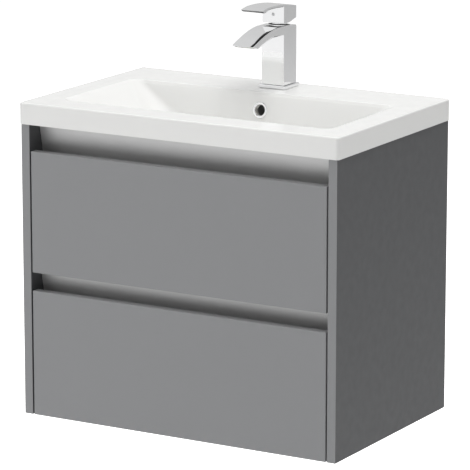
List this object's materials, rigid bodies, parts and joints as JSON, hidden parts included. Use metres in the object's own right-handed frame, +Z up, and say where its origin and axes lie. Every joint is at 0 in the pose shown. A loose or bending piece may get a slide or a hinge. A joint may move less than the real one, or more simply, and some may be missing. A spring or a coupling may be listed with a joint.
{
  "type": "bathroom vanity cabinet",
  "caption": "Wall-hung bathroom vanity cabinet with sliding drawers behind recessed finger rails, a rectangular ceramic basin and a square lever mixer tap with a flat curved spout.",
  "frame": {"origin": "middle of the hanging rail's face against the wall", "axes": "+Y into the wall, -Y out of the drawer fronts, +Z up, +X to the right as one faces the cabinet"},
  "size_m": [0.606, 0.392, 0.6847],
  "materials": {
    "cabinet_grey": "satin grey lacquer on board",
    "drawer_box_grey": "matt grey melamine board",
    "runner_steel": "zinc-plated steel",
    "bracket_steel": "zinc-plated steel",
    "finger_rail_metal": "satin anodised",
    "ceramic_white": "gloss white glaze",
    "chrome": "polished chrome",
    "seal_rubber": "matt",
    "trap_plastic": "moulded white",
    "lever_mark_enamel": "gloss"
  },
  "bodies": {
    "cabinet": {"side_panel_left": "cabinet_grey", "side_panel_right": "cabinet_grey", "bottom_panel": "cabinet_grey", "rear_rail_top": "cabinet_grey", "rear_rail_bottom": "cabinet_grey", "upper_runner_cabinet_left": "runner_steel", "upper_runner_cabinet_right": "runner_steel", "lower_runner_cabinet_left": "runner_steel", "lower_runner_cabinet_right": "runner_steel", "wall_bracket_left": "bracket_steel", "wall_bracket_right": "bracket_steel", "tap_shank": "bracket_steel", "tap_nut": "bracket_steel", "finger_rail_top": "finger_rail_metal", "finger_rail_middle": "finger_rail_metal", "basin": "ceramic_white", "overflow_ring": "chrome", "waste_body": "chrome", "waste_guide": "chrome", "waste_back_nut": "chrome", "tap_base_plate": "chrome", "tap_body": "chrome", "tap_collar": "chrome", "waste_seal": "seal_rubber", "tap_washer": "seal_rubber", "trap_body": "trap_plastic", "trap_cup": "trap_plastic", "trap_dip_tube": "trap_plastic", "trap_inlet_nut": "trap_plastic", "trap_outlet_nut": "trap_plastic", "waste_pipe": "trap_plastic", "spout_insert": "trap_plastic"},
    "upper_drawer": {"upper_drawer_front": "cabinet_grey", "upper_drawer_side_left": "drawer_box_grey", "upper_drawer_side_right": "drawer_box_grey", "upper_drawer_bottom": "drawer_box_grey", "upper_drawer_cheek_front": "drawer_box_grey", "upper_drawer_cheek_left": "drawer_box_grey", "upper_drawer_cheek_right": "drawer_box_grey", "upper_drawer_back_left": "drawer_box_grey", "upper_drawer_back_right": "drawer_box_grey", "upper_runner_drawer_left": "runner_steel", "upper_runner_drawer_right": "runner_steel"},
    "lower_drawer": {"lower_drawer_front": "cabinet_grey", "lower_drawer_side_left": "drawer_box_grey", "lower_drawer_side_right": "drawer_box_grey", "lower_drawer_bottom": "drawer_box_grey", "lower_drawer_back": "drawer_box_grey", "lower_runner_drawer_left": "runner_steel", "lower_runner_drawer_right": "runner_steel"},
    "upper_runner": {"upper_runner_middle_left": "runner_steel", "upper_runner_middle_right": "runner_steel"},
    "lower_runner": {"lower_runner_middle_left": "runner_steel", "lower_runner_middle_right": "runner_steel"},
    "waste_plug": {"waste_plug": "chrome"},
    "tap_swivel": {"cartridge_stem": "bracket_steel"},
    "tap_lever": {"tap_lever": "chrome", "lever_mark": "lever_mark_enamel"}
  },
  "joints": [
    {"name": "upper_drawer_slide", "type": "slide", "parent": "cabinet", "child": "upper_drawer", "axis": [0, -1, 0], "range_m": [0, 0.3]},
    {"name": "upper_runner_slide", "type": "slide", "parent": "cabinet", "child": "upper_runner", "axis": [0, -1, 0], "range_m": [0, 0.15]},
    {"name": "lower_drawer_slide", "type": "slide", "parent": "cabinet", "child": "lower_drawer", "axis": [0, -1, 0], "range_m": [0, 0.3]},
    {"name": "lower_runner_slide", "type": "slide", "parent": "cabinet", "child": "lower_runner", "axis": [0, -1, 0], "range_m": [0, 0.15]},
    {"name": "waste_plug_lift", "type": "slide", "parent": "cabinet", "child": "waste_plug", "axis": [0, 0, 1], "range_m": [0, 0.008]},
    {"name": "tap_swivel_turn", "type": "hinge", "parent": "cabinet", "child": "tap_swivel", "pos_m": [0, -0.0475, 0.208], "axis": [0, 0, 1], "range_deg": [-45, 45]},
    {"name": "tap_lever_lift", "type": "hinge", "parent": "tap_swivel", "child": "tap_lever", "pos_m": [0, -0.0475, 0.208], "axis": [-1, 0, 0], "range_deg": [0, 22]}
  ],
  "couplings": [
    {"joint": "upper_runner_slide", "follows": "upper_drawer_slide", "ratio": 0.5},
    {"joint": "lower_runner_slide", "follows": "lower_drawer_slide", "ratio": 0.5}
  ]
}
